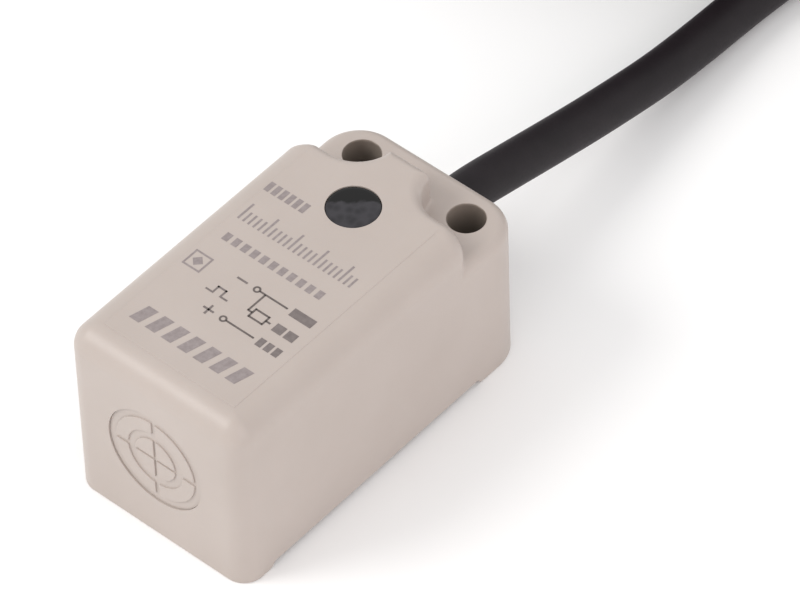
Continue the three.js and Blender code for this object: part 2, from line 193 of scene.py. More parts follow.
def curve_piece(name, points, radius, material, sides=24):
    curve = bpy.data.curves.new(name, "CURVE")
    curve.dimensions = "3D"
    curve.bevel_depth = radius * MM
    curve.bevel_resolution = sides // 2 - 2
    curve.use_fill_caps = True
    curve.twist_mode = "MINIMUM"
    spline = curve.splines.new("POLY")
    spline.points.add(len(points) - 1)
    for point, place in zip(spline.points, points):
        point.co = (*(Vector(place) * MM), 1)
    spline.use_smooth = True
    curve.materials.append(material)
    return link(name, curve)


# ---------------------------------------------------------------- materials

class Nodes:
    """Small helper that adds nodes to a material and joins them."""

    def __init__(self, name):
        self.material = bpy.data.materials.new(name)
        self.material.use_nodes = True
        self.tree = self.material.node_tree
        self.shader = self.tree.nodes["Principled BSDF"]

    def feed(self, socket, value):
        """Join another node's output to a socket, or give the socket a plain value."""
        if isinstance(value, bpy.types.NodeSocket):
            self.tree.links.new(value, socket)
        else:
            socket.default_value = value

    def feed_named(self, node, inputs):
        for key, value in inputs.items():
            self.feed(node.inputs[key.replace("_", " ")], value)

    def add(self, kind, **inputs):
        node = self.tree.nodes.new(kind)
        self.feed_named(node, inputs)
        return node

    def set(self, **inputs):
        self.feed_named(self.shader, inputs)

    def place(self):
        """Object coordinates, which are row coordinates in metres."""
        return self.add("ShaderNodeTexCoord").outputs["Object"]

    def noise(self, scale, detail=3.0, roughness=0.5):
        node = self.add("ShaderNodeTexNoise", Vector=self.place(), Scale=scale, Detail=detail,
                        Roughness=roughness)
        return node.outputs["Fac"]

    def axes(self):
        node = self.add("ShaderNodeSeparateXYZ", Vector=self.place())
        return node.outputs["X"], node.outputs["Y"], node.outputs["Z"]

    def math(self, operation, first, second=0.0):
        node = self.tree.nodes.new("ShaderNodeMath")
        node.operation = operation
        for socket, value in zip(node.inputs, (first, second)):
            self.feed(socket, value)
        return node.outputs["Value"]

    def ramp(self, fac, low, high, start=0.0, end=1.0):
        node = self.add("ShaderNodeValToRGB", Fac=fac)
        node.color_ramp.elements[0].position = start
        node.color_ramp.elements[1].position = end
        node.color_ramp.elements[0].color = (*low, 1)
        node.color_ramp.elements[1].color = (*high, 1)
        return node.outputs["Color"]

    def blend(self, fac, first, second):
        node = self.tree.nodes.new("ShaderNodeMixRGB")
        for socket, value in zip(node.inputs, (fac, first, second)):
            self.feed(socket, value)
        return node.outputs["Color"]

    def rise(self, value, start, end):
        """0 up to start, 1 from end."""
        return self.add("ShaderNodeMapRange", Value=value, From_Min=start, From_Max=end).outputs["Result"]

    def spread(self, fac, low, high):
        return self.add("ShaderNodeMapRange", Value=fac, To_Min=low, To_Max=high).outputs["Result"]

    def bump(self, height, distance, strength=1.0, normal=None):
        node = self.add("ShaderNodeBump", Height=height, Distance=distance, Strength=strength)
        if normal is not None:
            self.feed(node.inputs["Normal"], normal)
        return node.outputs["Normal"]


def moulded(name, low, high, roughness, grain=6000, depth=0.000004, coat=0.0):
    """Moulded or cast surface: cloudy colour, fine grain, roughness that varies a little."""
    n = Nodes(name)
    cloud = n.noise(260, 4)
    fine = n.noise(grain, 2)
    n.set(
        Base_Color=n.ramp(cloud, low, high, 0.3, 0.7),
        Roughness=n.spread(fine, roughness - 0.05, roughness + 0.05),
        Normal=n.bump(fine, depth),
        Coat_Weight=coat,
    )
    return n.material


def case_plastic():
    """Beige ABS with fine spark-eroded grain and faint flow clouds, with painted shade inside the two screw
    holes.
    """
    n = Nodes("case_plastic")
    cloud = n.noise(120, 5, 0.55)
    grain = n.noise(9000, 2)
    waviness = n.noise(700, 2)
    base = n.ramp(cloud, (0.432, 0.375, 0.341), (0.457, 0.399, 0.365), 0.3, 0.7)
    soft = n.bump(waviness, 0.000006, 0.35)
    x, y, _ = n.axes()
    sideways = n.math("ABSOLUTE", n.math("SUBTRACT", n.math("ABSOLUTE", x), HOLE_X * MM))
    lengthways = n.math("ABSOLUTE", n.math("SUBTRACT", y, HOLE_Y * MM))
    squares = n.math("ADD", n.math("POWER", sideways, 2.0), n.math("POWER", lengthways, 2.0))
    # Painted shade: the base colour turns dark brown down the walls of the two screw holes, where shade
    # falls.
    shade_start = (HOLE_RADIUS + 0.02) * MM
    shade_end = (HOLE_RADIUS + 0.09) * MM
    outside = n.rise(n.math("SQRT", squares), shade_start, shade_end)
    n.set(
        Base_Color=n.blend(outside, (0.25, 0.21, 0.18, 1), base),
        Roughness=n.spread(grain, 0.33, 0.46),
        Normal=n.bump(grain, 0.0000022, 0.7, soft),
        Specular_IOR_Level=0.42,
        Subsurface_Weight=0.04,
        Subsurface_Scale=0.0012,
    )
    n.shader.inputs["Subsurface Radius"].default_value = (1.0, 0.7, 0.5)
    return n.material


def ink(name, low, high):
    """Pad-printed grey ink, a little uneven."""
    n = Nodes(name)
    patch = n.noise(2600, 4, 0.6)
    n.set(
        Base_Color=n.ramp(patch, low, high, 0.3, 0.7),
        Roughness=n.spread(patch, 0.5, 0.65),
        Specular_IOR_Level=0.3,
    )
    return n.material


def smoked_lens():
    """Dark smoked plastic with a polished, faceted face. Painted light and shade make it lighter on the near
    half and nearly black on the far half.
    """
    n = Nodes("smoked_lens")
    facet = n.add("ShaderNodeTexVoronoi", Vector=n.place(), Scale=1500.0)
    swirl = n.noise(900, 3, 0.6)
    x, y, _ = n.axes()
    # Painted light and shade: a wavy slanted line along the line of sight splits the lens. The near half
    # keeps the lighter faceted colour and the far half is nearly black.
    lean_x, lean_y, waviness = -0.64, 0.77, 1.2 * MM
    slant = n.math("ADD", n.math("MULTIPLY", x, lean_x), n.math("MULTIPLY", y, lean_y))
    wavy = n.math("ADD", slant, n.math("MULTIPLY", swirl, waviness))
    edge, softness = lean_y * WINDOW_Y + 0.9, 0.3
    far_painted_shade = n.rise(wavy, edge * MM, (edge + softness) * MM)
    near_painted_light = n.ramp(facet.outputs["Distance"], (0.020, 0.019, 0.022), (0.036, 0.034, 0.039), 0.15, 0.7)
    n.set(
        Base_Color=n.blend(far_painted_shade, near_painted_light, (0.0022, 0.002, 0.002, 1)),
        Roughness=n.spread(swirl, 0.08, 0.14),
        Normal=n.bump(n.noise(500, 2), 0.00002, 0.12),
        Specular_IOR_Level=0.24,
        Coat_Weight=0.12,
        Coat_Roughness=0.04,
    )
    return n.material


def cable_jacket():
    """Black PVC, satin, with fine extrusion mottling."""
    n = Nodes("cable_jacket")
    cloud = n.noise(420, 4)
    grain = n.noise(5200, 3, 0.6)
    n.set(
        Base_Color=n.ramp(cloud, (0.007, 0.0045, 0.006), (0.011, 0.0075, 0.0095), 0.3, 0.7),
        Roughness=n.spread(grain, 0.46, 0.62),
        Normal=n.bump(grain, 0.00001, 0.35),
        Specular_IOR_Level=0.28,
        Sheen_Weight=0.06,
        Sheen_Roughness=0.35,
    )
    n.shader.inputs["Sheen Tint"].default_value = (0.78, 0.64, 0.78, 1)
    return n.material


def core_insulation(name, low, high):
    n = Nodes(name)
    streak = n.noise(1500, 3)
    n.set(
        Base_Color=n.ramp(streak, low, high, 0.3, 0.7),
        Roughness=n.spread(streak, 0.3, 0.42),
        Normal=n.bump(n.noise(4000, 2), 0.000004, 0.5),
    )
    return n.material


def metal(name, low, high, roughness, lay_scale=3000):
    """Bare or tinned metal with a fine lay of strands or drawing marks."""
    n = Nodes(name)
    lay = n.noise(lay_scale, 3)
    n.set(
        Base_Color=n.ramp(lay, low, high, 0.3, 0.7),
        Metallic=1.0,
        Roughness=n.spread(lay, roughness - 0.06, roughness + 0.08),
        Normal=n.bump(lay, 0.00002, 0.5),
    )
    return n.material


def make_materials():
    return {
        "case": case_plastic(),
        "ink": ink("print_ink", (0.235, 0.200, 0.198), (0.300, 0.262, 0.258)),
        "legend_ink": ink("print_legend_ink", (0.150, 0.127, 0.122), (0.200, 0.172, 0.166)),
        "line_ink": ink("print_line_ink", (0.100, 0.084, 0.078), (0.145, 0.124, 0.116)),
        "smoked_lens": smoked_lens(),
        "jacket": cable_jacket(),
        "ferrite": moulded("ferrite", (0.022, 0.021, 0.022), (0.045, 0.043, 0.044), 0.62, 3500, 0.00002),
        "nylon": moulded("bobbin_nylon", (0.70, 0.63, 0.48), (0.80, 0.73, 0.58), 0.42),
        "copper_wire": metal("enamelled_copper", (0.36, 0.11, 0.03), (0.55, 0.20, 0.06), 0.3),
        "foam": moulded("foam_pad", (0.06, 0.06, 0.065), (0.14, 0.14, 0.15), 0.92, 2500, 0.00008),
        "board": moulded("solder_mask", (0.012, 0.085, 0.035), (0.022, 0.135, 0.055), 0.32, 5000, coat=0.4),
        "chip_body": moulded("moulding_compound", (0.012, 0.012, 0.013), (0.024, 0.024, 0.026), 0.5,
                             4500, 0.00001),
        "chip_resistor": moulded("resistor_glaze", (0.010, 0.010, 0.012), (0.028, 0.028, 0.032), 0.25,
                                 coat=0.5),
        "chip_ceramic": moulded("capacitor_ceramic", (0.40, 0.29, 0.15), (0.52, 0.39, 0.22), 0.5),
        "tantalum": moulded("tantalum_case", (0.62, 0.31, 0.03), (0.76, 0.42, 0.06), 0.42),
        "led": moulded("led_lens", (0.42, 0.03, 0.02), (0.62, 0.07, 0.04), 0.18, coat=0.6),
        "seal_rubber": moulded("seal_rubber", (0.012, 0.012, 0.013), (0.026, 0.026, 0.028), 0.72,
                               4000, 0.00001),
        "clamp_steel": metal("plated_steel", (0.42, 0.42, 0.43), (0.60, 0.60, 0.61), 0.3),
        "resin": moulded("potting_resin", (0.020, 0.018, 0.015), (0.036, 0.032, 0.026), 0.22,
                         1200, 0.00003, coat=0.5),
        "tie": moulded("tie_strap", (0.010, 0.010, 0.011), (0.022, 0.022, 0.024), 0.45, 5000, 0.000012),
        "core_brown": core_insulation("brown_insulation", (0.085, 0.028, 0.010), (0.125, 0.045, 0.018)),
        "core_black": core_insulation("black_insulation", (0.010, 0.010, 0.011), (0.022, 0.022, 0.024)),
        "core_blue": core_insulation("blue_insulation", (0.012, 0.065, 0.290), (0.024, 0.105, 0.400)),
        "tinned": metal("tinned_copper", (0.52, 0.52, 0.54), (0.72, 0.72, 0.74), 0.28),
    }


# ---------------------------------------------------------------- lead, coil and flying leads

# From inside the case, over the floor and out of the view, to where the coil starts.
CABLE_ROUTE = [
    (0, 11.5, CABLE_HEIGHT),
    (0, 16, CABLE_HEIGHT),
    (0, 19.5, 8.1),
    (0, 23.4, 7.15),
    (0, 28, 5.95),
    (0, 32.8, 4.75),
    (0, 37.6, 3.7),
    (0, 42, 2.9),
    (-0.15, 47, 2.2),
    (-0.2, 52, 1.85),
    (0.1, 56.5, 1.85),
    (1.0, 61.5, 2.25),
    (2.2, 66.5, 2.7),
]


def smooth(t):
    t = min(max(t, 0.0), 1.0)
    return t * t * (3 - 2 * t)


def coil_point(turn):
    """Where the wound lead is after so many degrees. In each layer it steps sideways to the next turn twice,
    in one sector, and it climbs to the next layer in a sector of its own, so that no turn meets another."""
    pitch = 2 * CABLE_RADIUS
    radius = COIL_OUTER_RADIUS - CABLE_RADIUS
    height = COIL_LOW.z + CABLE_RADIUS
    for layer in range(COIL_LAYERS):
        way = 1 if layer % 2 else -1
        for step in range(COIL_COLUMNS - 1):
            start = 2 * STEP_SECTOR + LAYER_TURN * layer + 360 * step
            radius += way * pitch * smooth((turn - start) / STEP_SECTOR)
        if layer:
            height += pitch * smooth((turn - LAYER_TURN * layer) / STEP_SECTOR)
    height += pitch * smooth((turn - LAST_CLIMB) / STEP_SECTOR)
    a = math.radians(turn)
    return Vector((COIL_MIDDLE.x + radius * math.cos(a), COIL_MIDDLE.y + radius * math.sin(a), height))


def line_length(points):
    return sum((b - a).length for a, b in zip(points, points[1:]))


def make_cable():
    route = catmull(CABLE_ROUTE + [tuple(coil_point(0))], 6)
    count = int(LAST_TURN / 6) + 1
    whole = route[:-1] + [coil_point(LAST_TURN * i / count) for i in range(count + 1)]
    cable = curve_piece("cable", whole, CABLE_RADIUS, MATERIALS["jacket"])
    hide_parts("cable_jacket", "cable_coil", "cable_tail")
    return cable, line_length(whole)


def make_flying_leads():
    """Three cores leave the cut end of the jacket, spread out on the coil and end in tinned tips."""
    outer = COIL_OUTER_RADIUS - CABLE_RADIUS
    middle = COIL_OUTER_RADIUS - 3 * CABLE_RADIUS
    end = math.radians(LAST_TURN)

    def place(forward, sideways, above):
        radius = outer + (middle - outer) * smooth(forward / 22) + sideways
        a = end + forward / outer
        return Vector((COIL_MIDDLE.x + radius * math.cos(a), COIL_MIDDLE.y + radius * math.sin(a),
                       COIL_HIGH.z + above))

    made = []
    for colour, side in (("brown", 1), ("black", 0), ("blue", -1)):
        start = CABLE_RADIUS + (0.6 if side == 0 else -0.4)
        covered = catmull([
            place(0.03, side * 0.72, start),
            place(1.5, side * 0.9, start),
            place(5, side * 1.6, 1.35),
            place(9, side * 2.1, 0.85),
            place(15, side * 2.9, LEAD_RADIUS + 0.02),
            place(21, side * 3.5, LEAD_RADIUS + 0.02),
        ], 8)
        core = f"core_{colour}"
        lead = curve_piece(f"flying_lead_{colour}", covered, LEAD_RADIUS, MATERIALS[core], 16)
        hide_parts(f"lead_{colour}")
        bare = catmull([
            place(21.02, side * 3.5, LEAD_RADIUS),
            place(23.4, side * 3.75, TIP_RADIUS + 0.12),
            place(26, side * 3.95, TIP_RADIUS + 0.02),
        ], 6)
        tip = curve_piece(f"stripped_tip_{colour}", bare, TIP_RADIUS, MATERIALS["tinned"], 12)
        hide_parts(f"tinned_tip_{colour}")
        made += [lead, tip]
    return made


def round_corners(x_low, x_high, y_low, y_high, radius, steps):
    """Points round the four corners of a rectangle, each with its direction outwards."""
    for x, y, start in (
        (x_high - radius, y_high - radius, 0),
        (x_low + radius, y_high - radius, 90),
        (x_low + radius, y_low + radius, 180),
        (x_high - radius, y_low + radius, 270),
    ):
        for i in range(steps + 1):
            a = math.radians(start + 90 * i / steps)
            yield x + radius * math.cos(a), y + radius * math.sin(a), math.cos(a), math.sin(a)


def rounded_outline(width, height, radius, steps):
    half_width, half_height = width / 2, height / 2
    corners = round_corners(-half_width, half_width, -half_height, half_height, radius, steps)
    return [(x, y) for x, y, _, _ in corners]


def make_tie(name, node, degrees):
    """A nylon strap drawn round the section of the coil, with its head on the inner side."""
    middle = (COIL_OUTER_RADIUS + COIL_INNER_RADIUS) / 2
    half_width = (COIL_OUTER_RADIUS - COIL_INNER_RADIUS) / 2 + TIE_THICKNESS / 2 + TIE_GAP
    low = TIE_THICKNESS / 2
    high = COIL_HIGH.z + TIE_THICKNESS / 2 + TIE_GAP
    bend, edge = 1.5, 0.28
    loop = list(round_corners(-half_width, half_width, low, high, bend, 8))
    section = rounded_outline(TIE_WIDTH, TIE_THICKNESS - 0.04, edge, 4)
    turn = math.radians(degrees)
    out = Vector((math.cos(turn), math.sin(turn), 0))
    along = Vector((-math.sin(turn), math.cos(turn), 0))
    centre = Vector((COIL_MIDDLE.x, COIL_MIDDLE.y, 0)) + out * middle
    vertices, faces = [], []
    for u, w, nu, nw in loop:
        for s, t in section:
            vertices.append(centre + along * s + out * (u + nu * t) + Vector((0, 0, w + nw * t)))
    n, m = len(loop), len(section)
    for i in range(n):
        for j in range(m):
            k, l = (i + 1) % n, (j + 1) % m
            faces.append((i * m + j, i * m + l, k * m + l, k * m + j))
    strap = mesh_piece(name, [tuple(v) for v in vertices], faces, MATERIALS["tie"])
    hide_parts(node)
    head_gap, head_height = 1.2, 12.0
    head_centre = centre - out * (half_width + head_gap) + Vector((0, 0, head_height))
    head = tie_head(name + "_head", head_centre, out, along)
    return [strap, head]


def tie_head(name, centre, out, along):
    """Tapered block with rounded edges."""
    depth, width, height = 2.3, 5.2, 4.6
    mesh = bpy.data.meshes.new(name)
    b = bmesh.new()
    bmesh.ops.create_cube(b, size=1)
    for vertex in b.verts:
        x, y, z = vertex.co
        taper = 1 - 0.18 * (x + 0.5)
        vertex.co = (centre - out * (x * depth) + along * (y * width * taper)
                     + Vector((0, 0, z * height * taper))) * MM
    bmesh.ops.bevel(b, geom=list(b.edges), offset=0.45 * MM, segments=4, profile=0.5, affect="EDGES")
    for face in b.faces:
        face.smooth = True
    b.to_mesh(mesh)
    b.free()
    mesh.set_sharp_from_angle(angle=math.radians(40))
    mesh.materials.append(MATERIALS["tie"])
    return link(name, mesh)


# ---------------------------------------------------------------- solids from distance functions

def rounded_max(a, b, r):
    """Intersection of two solids, its edge rounded to radius r."""
    return np.minimum(np.maximum(a, b), -r) + np.hypot(np.maximum(a + r, 0), np.maximum(b + r, 0))


def rounded_min(a, b, r):
    """Union of two solids, its inner corner filled to radius r."""
    return -rounded_max(-a, -b, r)


def slab(value, low, high):
    return np.maximum(low - value, value - high)


def block(x, y, z, half_width, y_span, z_span):
    """Box in the middle of the width, below zero inside it."""
    return np.maximum(np.maximum(slab(x, -half_width, half_width), slab(y, *y_span)), slab(z, *z_span))


def rounded_rectangle(x, y, half_width, near_painted_light, rear, front_corner, rear_corner):
    corner = np.where(y < (near_painted_light + rear) / 2, front_corner, rear_corner)
    qx = np.abs(x) - half_width + corner
    qy = np.abs(y - (near_painted_light + rear) / 2) - (rear - near_painted_light) / 2 + corner
    return np.minimum(np.maximum(qx, qy), 0) + np.hypot(np.maximum(qx, 0), np.maximum(qy, 0)) - corner


def gradient(f, p, h=2e-4):
    g = np.empty_like(p)
    for k in range(3):
        d = np.zeros(3)
        d[k] = h
        g[..., k] = f(p + d) - f(p - d)
    return g / np.maximum(np.linalg.norm(g, axis=-1, keepdims=True), 1e-9)


def crossings(f, grid, values, axis):
    """Where the surface crosses the grid lines along one axis, its normal there, and the four cells round
    each crossing."""
    inside = values < 0
    before = [slice(None)] * 3
    after = [slice(None)] * 3
    before[axis] = slice(0, -1)
    after[axis] = slice(1, None)
    found = np.argwhere(inside[tuple(before)] != inside[tuple(after)])
    b, c = (axis + 1) % 3, (axis + 2) % 3
    size = values.shape
    for k in (b, c):
        found = found[(found[:, k] > 0) & (found[:, k] < size[k] - 1)]
    beyond = found.copy()
    beyond[:, axis] += 1
    low, high = grid[tuple(found.T)], grid[tuple(beyond.T)]
    low_inside = inside[tuple(found.T)]
    for _ in range(14):
        middle = (low + high) / 2
        same = ((f(middle) < 0) == low_inside)[:, None]
        low, high = np.where(same, middle, low), np.where(same, high, middle)
    points = (low + high) / 2
    cells = []
    for db, dc in ((-1, -1), (0, -1), (0, 0), (-1, 0)):
        q = found.copy()
        q[:, b] += db
        q[:, c] += dc
        cells.append((q[:, 0] * (size[1] - 1) + q[:, 1]) * (size[2] - 1) + q[:, 2])
    cells = np.stack(cells, 1)
    cells = np.where(low_inside[:, None], cells, cells[:, ::-1])
    return points, gradient(f, points), cells


def contour(f, xs, ys, zs):
    """Dual contouring: one vertex per cell, put where the planes through that cell's crossings meet, so that
    edges stay sharp, and one quad per crossing."""
    grid = np.stack(np.meshgrid(xs, ys, zs, indexing="ij"), -1)
    values = f(grid)
    parts = [crossings(f, grid, values, axis) for axis in range(3)]
    points, normals, cells = (np.concatenate([part[i] for part in parts]) for i in range(3))
    used, faces = np.unique(cells, return_inverse=True)
    faces = faces.reshape(cells.shape)
    count = len(used)
    cell = faces.ravel()
    p, n = np.repeat(points, 4, axis=0), np.repeat(normals, 4, axis=0)
    many = np.bincount(cell, minlength=count)[:, None]
    mean = np.stack([np.bincount(cell, p[:, k], count) for k in range(3)], 1) / many
    away = np.einsum("ij,ij->i", n, p - mean[cell])
    left = np.zeros((count, 3, 3))
    right = np.zeros((count, 3))
    for i in range(3):
        right[:, i] = np.bincount(cell, n[:, i] * away, count)
        for j in range(3):
            left[:, i, j] = np.bincount(cell, n[:, i] * n[:, j], count)
    size, basis = np.linalg.eigh(left)
    keep = np.where(size > 0.1 * size[:, 2:], 1 / np.maximum(size, 1e-12), 0)
    shift = np.einsum("nij,nj,nkj,nk->ni", basis, keep, basis, right)
    width = (len(ys) - 1) * (len(zs) - 1)
    i, j, k = used // width, used % width // (len(zs) - 1), used % (len(zs) - 1)
    low = np.stack([xs[i], ys[j], zs[k]], 1)
    high = np.stack([xs[i + 1], ys[j + 1], zs[k + 1]], 1)
    return np.clip(mean + shift, low, high), faces


def spaced(start, *stretches):
    """Grid lines from start, in stretches that each say where they end and how far apart their lines are."""
    lines = [start]
    for end, step in stretches:
        count = max(1, int(round((end - lines[-1]) / step)))
        lines.extend(np.linspace(lines[-1], end, count + 1)[1:])
    return np.array(lines)


def solid_piece(name, f, xs, ys, zs, material, node=None):
    vertices, faces = contour(f, xs, ys, zs)
    vertices = np.clip(vertices, (-HALF_WIDTH, FRONT, 0), (HALF_WIDTH, REAR, CASE_TOP))
    piece = mesh_piece(name, vertices, faces, material)
    shading = piece.modifiers.new("even_shading", "WEIGHTED_NORMAL")
    shading.keep_sharp = True
    if node:
        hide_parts(node)
    return piece


# ---------------------------------------------------------------- case

def relief(y, z):
    """The shallow cut between the two feet, with a sloping end at each, below zero inside it."""
    rear_slope = ((y - REAR_FOOT) * 0.53 + z * 0.42) / 0.676
    front_slope = ((FRONT_FOOT - y) * 0.56 + z * 0.65) / 0.858
    return np.maximum(np.maximum(z - FOOT_HEIGHT, rear_slope), front_slope)


def case_outside(x, y, z):
    """Ears, and the tall part on them, with the screw head clearances cut out of its rear end."""
    full = rounded_rectangle(x, y, HALF_WIDTH, FRONT, REAR, FRONT_CORNER, REAR_CORNER)
    ear = rounded_max(full, z - EAR_HEIGHT, EAR_EDGE)
    ridge = rounded_rectangle(x, y, HALF_WIDTH, FRONT, REAR + 4, FRONT_CORNER, 0.01)
    edged = rounded_max(ridge, z - CASE_TOP + STEP * np.clip(STEP_END - y, 0, 1), TOP_EDGE)
    stepped = np.minimum(edged, rounded_max(ridge + TOP_EDGE, z - CASE_TOP, STEP / 2))
    hole = np.hypot(np.abs(x) - HOLE_X, y - HOLE_Y)
    round_cut = np.hypot(np.abs(x) - HOLE_X, y - SCALLOP_Y) - SCALLOP_RADIUS
    ahead = SCALLOP_Y - SCALLOP_RADIUS - y
    beside = np.where(ahead > 0, np.hypot(np.maximum(HOLE_X - np.abs(x), 0), ahead),
                      np.maximum(HOLE_X - np.abs(x), ahead))
    keep = rounded_max(-np.minimum(round_cut, beside), y - PLATEAU_END, SCALLOP_CORNER)
    edge = SCALLOP_EDGE + (SHOULDER_CORNER - SCALLOP_EDGE) * np.clip(np.abs(x) - SHOULDER_X, 0, 1)
    tall = rounded_max(stepped, keep, edge)
    fillet = np.clip((-full - 0.05) * 0.6, 1e-6, EAR_FILLET)
    solid = rounded_min(ear, tall, fillet)
    solid = rounded_max(solid, -z, 0.2)
    solid = rounded_max(solid, -relief(y, z), 0.1)
    return rounded_max(solid, HOLE_RADIUS - hole, 0.1)


def case_hollow(x, y, z):
    """Chamber, cable pocket and bore, window bore and its seat, and the round recess in the front."""
    inside = HALF_WIDTH - SIDE_WALL
    wall = FRONT + FRONT_WALL
    open_below = -HEIGHT
    main = block(x, y, z, inside, (wall, CHAMBER_REAR), (open_below, CHAMBER_TOP))
    lower = block(x, y, z, inside, (wall, EAR_CHAMBER_REAR), (open_below, EAR_ROOF))
    pocket = block(x, y, z, POCKET_HALF_WIDTH, (7.0, 14.2), (POCKET_FLOOR, EAR_ROOF))
    from_window = np.hypot(x, y - WINDOW_Y)
    seat = np.maximum(from_window - LENS_FLANGE_RADIUS - 0.2, slab(z, EAR_ROOF, CHAMBER_TOP))
    window = np.maximum(from_window - WINDOW_RADIUS - 0.06, LENS_FLANGE_LOW - z)
    bore = np.maximum(np.hypot(x, z - CABLE_HEIGHT) - BORE_RADIUS, BORE_START - y)
    target = np.maximum(np.hypot(x, z - TARGET_HEIGHT) - TARGET_RADIUS, y - FRONT - RECESS_DEPTH)
    return np.minimum.reduce([main, lower, pocket, seat, bore, window, target])


def case_solid(p):
    x, y, z = p[..., 0], p[..., 1], p[..., 2]
    return np.maximum(case_outside(x, y, z), -case_hollow(x, y, z))


def make_case():
    half = spaced(0.013, (2.3, 0.23), (7.2, 0.22), (8.05, 0.17), (8.8, 0.11))
    xs = np.concatenate([-half[::-1], half])
    ys = spaced(-16.3, (-15.2, 0.11), (-13.7, 0.17), (-12.0, 0.25), (4.0, 0.8), (8.8, 0.23), (13.6, 0.14),
                (15.3, 0.2), (16.35, 0.11))
    zs = spaced(-0.25, (0.75, 0.09), (3.6, 0.5), (13.2, 0.24), (14.1, 0.11), (15.7, 0.17), (17.3, 0.11))
    solid_piece("case_body", case_solid, xs, ys, zs, MATERIALS["case"], "case_shell")


def target_solid(p):
    """Sensing-face mark: a broken ring and a disc cut by a cross, raised from the floor of the recess."""
    x, y, z = p[..., 0], p[..., 1] - FRONT, p[..., 2] - TARGET_HEIGHT
    r = np.hypot(x, z)
    base = np.maximum(r - TARGET_RADIUS + 0.02, slab(y, TARGET_DEPTH, RECESS_DEPTH - 0.01))
    cross = np.minimum(np.abs(x), np.abs(z))
    ring = rounded_max(np.abs(r - 3.25) - 0.6, 0.18 - cross, 0.1)
    disc = rounded_max(r - 1.95, 0.11 - cross, 0.05)
    raised = rounded_max(np.minimum(ring, disc), slab(y, 0.02, 0.4), 0.06)
    return rounded_min(base, raised, 0.04)


def make_target():
    across = spaced(-4.75, (4.75, 0.075))
    depth = FRONT + spaced(-0.06, (0.3, 0.045), (0.55, 0.06))
    solid_piece("target_relief", target_solid, across + 0.004, depth, across + TARGET_HEIGHT + 0.003,
                MATERIALS["case"])


def cover_solid(p):
    """Closing plate with the front foot on it and three shallow round marks of the mould's ejector pins."""
    x, y, z = p[..., 0], p[..., 1], p[..., 2]
    gap, corner = 0.1, 0.5
    pins = ((-4.6, -9), (4.6, -9), (0, 5.6))
    pin_radius, pin_depth = 0.9, 0.07
    plate = rounded_rectangle(x, y, HALF_WIDTH - SIDE_WALL - gap, FRONT + FRONT_WALL + gap, COVER_REAR,
                              corner, corner)
    solid = rounded_max(plate, slab(z, 0.0, COVER_TOP), 0.15)
    solid = rounded_max(solid, -relief(y, z), 0.08)
    marks = np.minimum.reduce([np.hypot(x - a, y - b) for a, b in pins])
    return np.maximum(solid, -np.maximum(marks - pin_radius, z - FOOT_HEIGHT - pin_depth))


def make_cover():
    across = spaced(0.011, (4.0, 0.2), (6.6, 0.25), (7.35, 0.11))
    xs = np.concatenate([-across[::-1], across])
    ys = spaced(-15.1, (-14.5, 0.11), (-13.5, 0.2), (-12.6, 0.11), (-7.9, 0.2), (4.4, 0.6), (8.9, 0.2),
                (9.45, 0.11))
    zs = spaced(-0.15, (0.75, 0.08), (1.2, 0.15), (1.6, 0.08))
    solid_piece("base_cover", cover_solid, xs, ys, zs, MATERIALS["case"], "bottom_cover")


# ---------------------------------------------------------------- turned pieces

def turned(profile, place, sides, closed):
    """Mesh of a profile of (radius, height) turned about an axis. place puts (x, y, height) in the frame."""
    vertices, faces, rows = [], [], []
    for radius, height in profile:
        if radius < 1e-6:
            rows.append([len(vertices)] * sides)
            vertices.append(place(0, 0, height))
            continue
        rows.append(list(range(len(vertices), len(vertices) + sides)))
        for i in range(sides):
            a = 2 * math.pi * i / sides
            vertices.append(place(radius * math.cos(a), radius * math.sin(a), height))
    pairs = list(zip(rows, rows[1:] + rows[:1])) if closed else list(zip(rows, rows[1:]))
    for low, high in pairs:
        for i in range(sides):
            j = (i + 1) % sides
            face = [low[i], low[j], high[j], high[i]]
            face = [v for n, v in enumerate(face) if v != face[n - 1]]
            if len(face) > 2:
                faces.append(face)
    return vertices, faces


def make_window():
    """Smoked lens: a flanged plug whose face is a very shallow dome with a fine chamfer."""
    top = CASE_TOP - 0.03
    low = WINDOW_LOW.z
    stem, flange, chamfer = LENS_STEM_RADIUS, LENS_FLANGE_RADIUS, 0.05
    barrel = WINDOW_RADIUS + 0.02
    profile = [
        (0, low),
        (stem - chamfer, low),
        (stem, low + chamfer),
        (stem, LENS_FLANGE_LOW - chamfer),
        (stem + chamfer, LENS_FLANGE_LOW),
        (flange - chamfer, LENS_FLANGE_LOW),
        (flange, LENS_FLANGE_LOW + chamfer),
        (flange, LENS_FLANGE_HIGH - chamfer),
        (flange - chamfer, LENS_FLANGE_HIGH),
        (barrel, LENS_FLANGE_HIGH),
        (barrel, top - 0.09),
        (WINDOW_RADIUS, top - 0.05),
    ]
    dome_radius, dome_start, dome_rise, dome_steps = WINDOW_RADIUS - 0.06, top - 0.015, 0.045, 10
    for i in range(dome_steps + 1):
        out = 1 - i / dome_steps
        profile.append((dome_radius * out, dome_start + dome_rise * (1 - out ** 2)))
    place = lambda a, b, h: (a, WINDOW_Y + b, h)
    vertices, faces = turned(profile, place, 96, False)
    piece = mesh_piece("window_lens", vertices, faces, MATERIALS["smoked_lens"])
    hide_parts("indicator_window")


def arc(x, y, radius, degrees):
    return [(x + radius * math.cos(math.radians(a)), y + radius * math.sin(math.radians(a))) for a in degrees]


